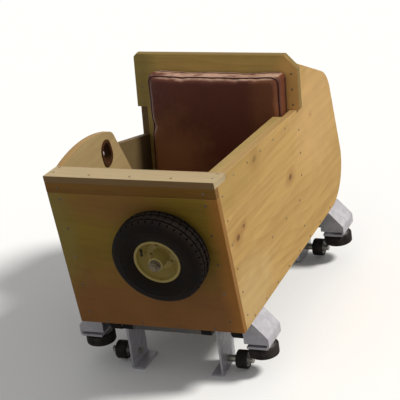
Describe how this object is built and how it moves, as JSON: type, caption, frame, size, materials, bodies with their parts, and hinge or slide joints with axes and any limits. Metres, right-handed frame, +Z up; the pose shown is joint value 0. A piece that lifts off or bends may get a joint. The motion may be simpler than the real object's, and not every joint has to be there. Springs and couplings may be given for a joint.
{
  "type": "roller coaster car",
  "caption": "Small fairground coaster car: open plywood tub for one rider with vinyl seat, spare-wheel bumper and four rail bogies.",
  "frame": {"origin": "on the ground plane under the middle of the car's overall length and width", "axes": "+X the right-hand side seen from in front, +Y towards the tail, +Z up; the front bumper faces -Y"},
  "size_m": [0.547, 0.9854, 0.7],
  "materials": {
    "plywood": "sanded, oiled, weathered",
    "planed_pine": "planed",
    "maroon_vinyl": "semi-gloss vinyl",
    "tyre_rubber": "matte",
    "cream_rim": "dull paint",
    "galvanised_steel": "galvanised",
    "black_steel": "satin black",
    "bare_steel": "worn",
    "zinc_steel": "zinc plated",
    "urethane": "matte"
  },
  "bodies": {
    "car": {"back_cushion": "maroon_vinyl", "back_panel": "plywood", "bumper_axle": "zinc_steel", "bumper_backing_plate": "zinc_steel", "carrier_front_left": "galvanised_steel", "carrier_front_right": "galvanised_steel", "carrier_rear_left": "galvanised_steel", "carrier_rear_right": "galvanised_steel", "chain_dog_bracket": "black_steel", "chain_dog_pin": "bare_steel", "cross_tube_front": "black_steel", "cross_tube_middle": "black_steel", "cross_tube_rear": "black_steel", "door_post": "planed_pine", "floor_board": "plywood", "frame_tube_left": "black_steel", "frame_tube_right": "black_steel", "front_panel": "plywood", "front_post_left": "planed_pine", "front_post_right": "planed_pine", "front_top_rail": "planed_pine", "seat_board": "plywood", "seat_cushion": "maroon_vinyl", "seat_riser": "plywood", "side_panel_left": "plywood", "side_panel_right": "plywood", "tail_skin": "plywood", "top_batten_right": "planed_pine", "top_board": "planed_pine", "tow_tab": "black_steel", "wheel_bolts_front_left": "zinc_steel", "wheel_bolts_front_right": "zinc_steel", "wheel_bolts_rear_left": "zinc_steel", "wheel_bolts_rear_right": "zinc_steel"},
    "load_wheel_front_right": {"load_wheel_front_right": "urethane"},
    "upstop_wheel_front_right": {"upstop_wheel_front_right": "urethane"},
    "guide_wheel_front_right": {"guide_wheel_front_right": "urethane"},
    "load_wheel_front_left": {"load_wheel_front_left": "urethane"},
    "upstop_wheel_front_left": {"upstop_wheel_front_left": "urethane"},
    "guide_wheel_front_left": {"guide_wheel_front_left": "urethane"},
    "load_wheel_rear_right": {"load_wheel_rear_right": "urethane"},
    "upstop_wheel_rear_right": {"upstop_wheel_rear_right": "urethane"},
    "guide_wheel_rear_right": {"guide_wheel_rear_right": "urethane"},
    "load_wheel_rear_left": {"load_wheel_rear_left": "urethane"},
    "upstop_wheel_rear_left": {"upstop_wheel_rear_left": "urethane"},
    "guide_wheel_rear_left": {"guide_wheel_rear_left": "urethane"},
    "bumper_wheel": {"bumper_tyre": "tyre_rubber", "bumper_rim": "cream_rim"},
    "chain_dog": {"chain_dog": "bare_steel"}
  },
  "joints": [
    {"name": "load_wheel_front_right_spin", "type": "hinge", "parent": "car", "child": "load_wheel_front_right", "pos_m": [0.1725, -0.26627, 0.126], "axis": [1, 0, 0], "continuous": true},
    {"name": "upstop_wheel_front_right_spin", "type": "hinge", "parent": "car", "child": "upstop_wheel_front_right", "pos_m": [0.1725, -0.26627, 0.031], "axis": [1, 0, 0], "continuous": true},
    {"name": "guide_wheel_front_right_spin", "type": "hinge", "parent": "car", "child": "guide_wheel_front_right", "pos_m": [0.2335, -0.26627, 0.069], "axis": [0, 0, 1], "continuous": true},
    {"name": "load_wheel_front_left_spin", "type": "hinge", "parent": "car", "child": "load_wheel_front_left", "pos_m": [-0.1725, -0.26627, 0.126], "axis": [1, 0, 0], "continuous": true},
    {"name": "upstop_wheel_front_left_spin", "type": "hinge", "parent": "car", "child": "upstop_wheel_front_left", "pos_m": [-0.1725, -0.26627, 0.031], "axis": [1, 0, 0], "continuous": true},
    {"name": "guide_wheel_front_left_spin", "type": "hinge", "parent": "car", "child": "guide_wheel_front_left", "pos_m": [-0.2335, -0.26627, 0.069], "axis": [0, 0, 1], "continuous": true},
    {"name": "load_wheel_rear_right_spin", "type": "hinge", "parent": "car", "child": "load_wheel_rear_right", "pos_m": [0.1725, 0.38072, 0.126], "axis": [1, 0, 0], "continuous": true},
    {"name": "upstop_wheel_rear_right_spin", "type": "hinge", "parent": "car", "child": "upstop_wheel_rear_right", "pos_m": [0.1725, 0.38072, 0.031], "axis": [1, 0, 0], "continuous": true},
    {"name": "guide_wheel_rear_right_spin", "type": "hinge", "parent": "car", "child": "guide_wheel_rear_right", "pos_m": [0.2335, 0.38072, 0.069], "axis": [0, 0, 1], "continuous": true},
    {"name": "load_wheel_rear_left_spin", "type": "hinge", "parent": "car", "child": "load_wheel_rear_left", "pos_m": [-0.1725, 0.38072, 0.126], "axis": [1, 0, 0], "continuous": true},
    {"name": "upstop_wheel_rear_left_spin", "type": "hinge", "parent": "car", "child": "upstop_wheel_rear_left", "pos_m": [-0.1725, 0.38072, 0.031], "axis": [1, 0, 0], "continuous": true},
    {"name": "guide_wheel_rear_left_spin", "type": "hinge", "parent": "car", "child": "guide_wheel_rear_left", "pos_m": [-0.2335, 0.38072, 0.069], "axis": [0, 0, 1], "continuous": true},
    {"name": "bumper_wheel_spin", "type": "hinge", "parent": "car", "child": "bumper_wheel", "pos_m": [0.067, -0.4, 0.4205], "axis": [0, -0.9902, -0.1396], "continuous": true},
    {"name": "chain_dog_hinge", "type": "hinge", "parent": "car", "child": "chain_dog", "pos_m": [0, -0.11428, 0.121], "axis": [1, 0, 0], "range_deg": [0, 35]}
  ]
}
